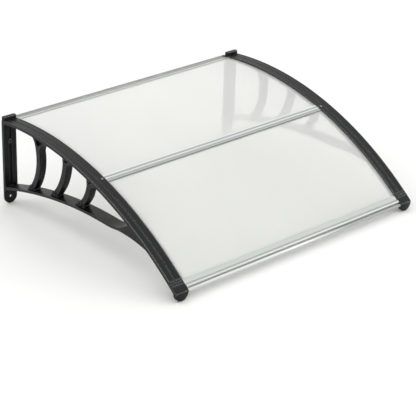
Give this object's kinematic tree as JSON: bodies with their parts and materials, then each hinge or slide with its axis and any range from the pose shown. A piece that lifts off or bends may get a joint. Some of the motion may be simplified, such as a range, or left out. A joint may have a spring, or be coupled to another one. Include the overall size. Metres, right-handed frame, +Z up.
{
  "type": "polycarbonate door canopy",
  "caption": "Curved door canopy of hazy clear polycarbonate on black moulded wall brackets, with aluminium strips along its edges and middle.",
  "frame": {"origin": "middle of the rear strip's back face, on the wall, level with the top of the arch at the wall", "axes": "+X along the wall, +Y into the wall, +Z up"},
  "size_m": [1, 0.882, 0.3135],
  "materials": {
    "moulding": "fine moulded grain",
    "sheet": "smooth, slightly hazy",
    "strip": "satin",
    "screw": "zinc plated"
  },
  "bodies": {
    "root": {"left_bracket": "moulding", "right_bracket": "moulding", "rear_sheet": "sheet", "front_sheet": "sheet", "rear_strip": "strip", "middle_strip": "strip", "front_strip": "strip", "left_screw": "screw", "right_screw": "screw"}
  },
  "joints": []
}
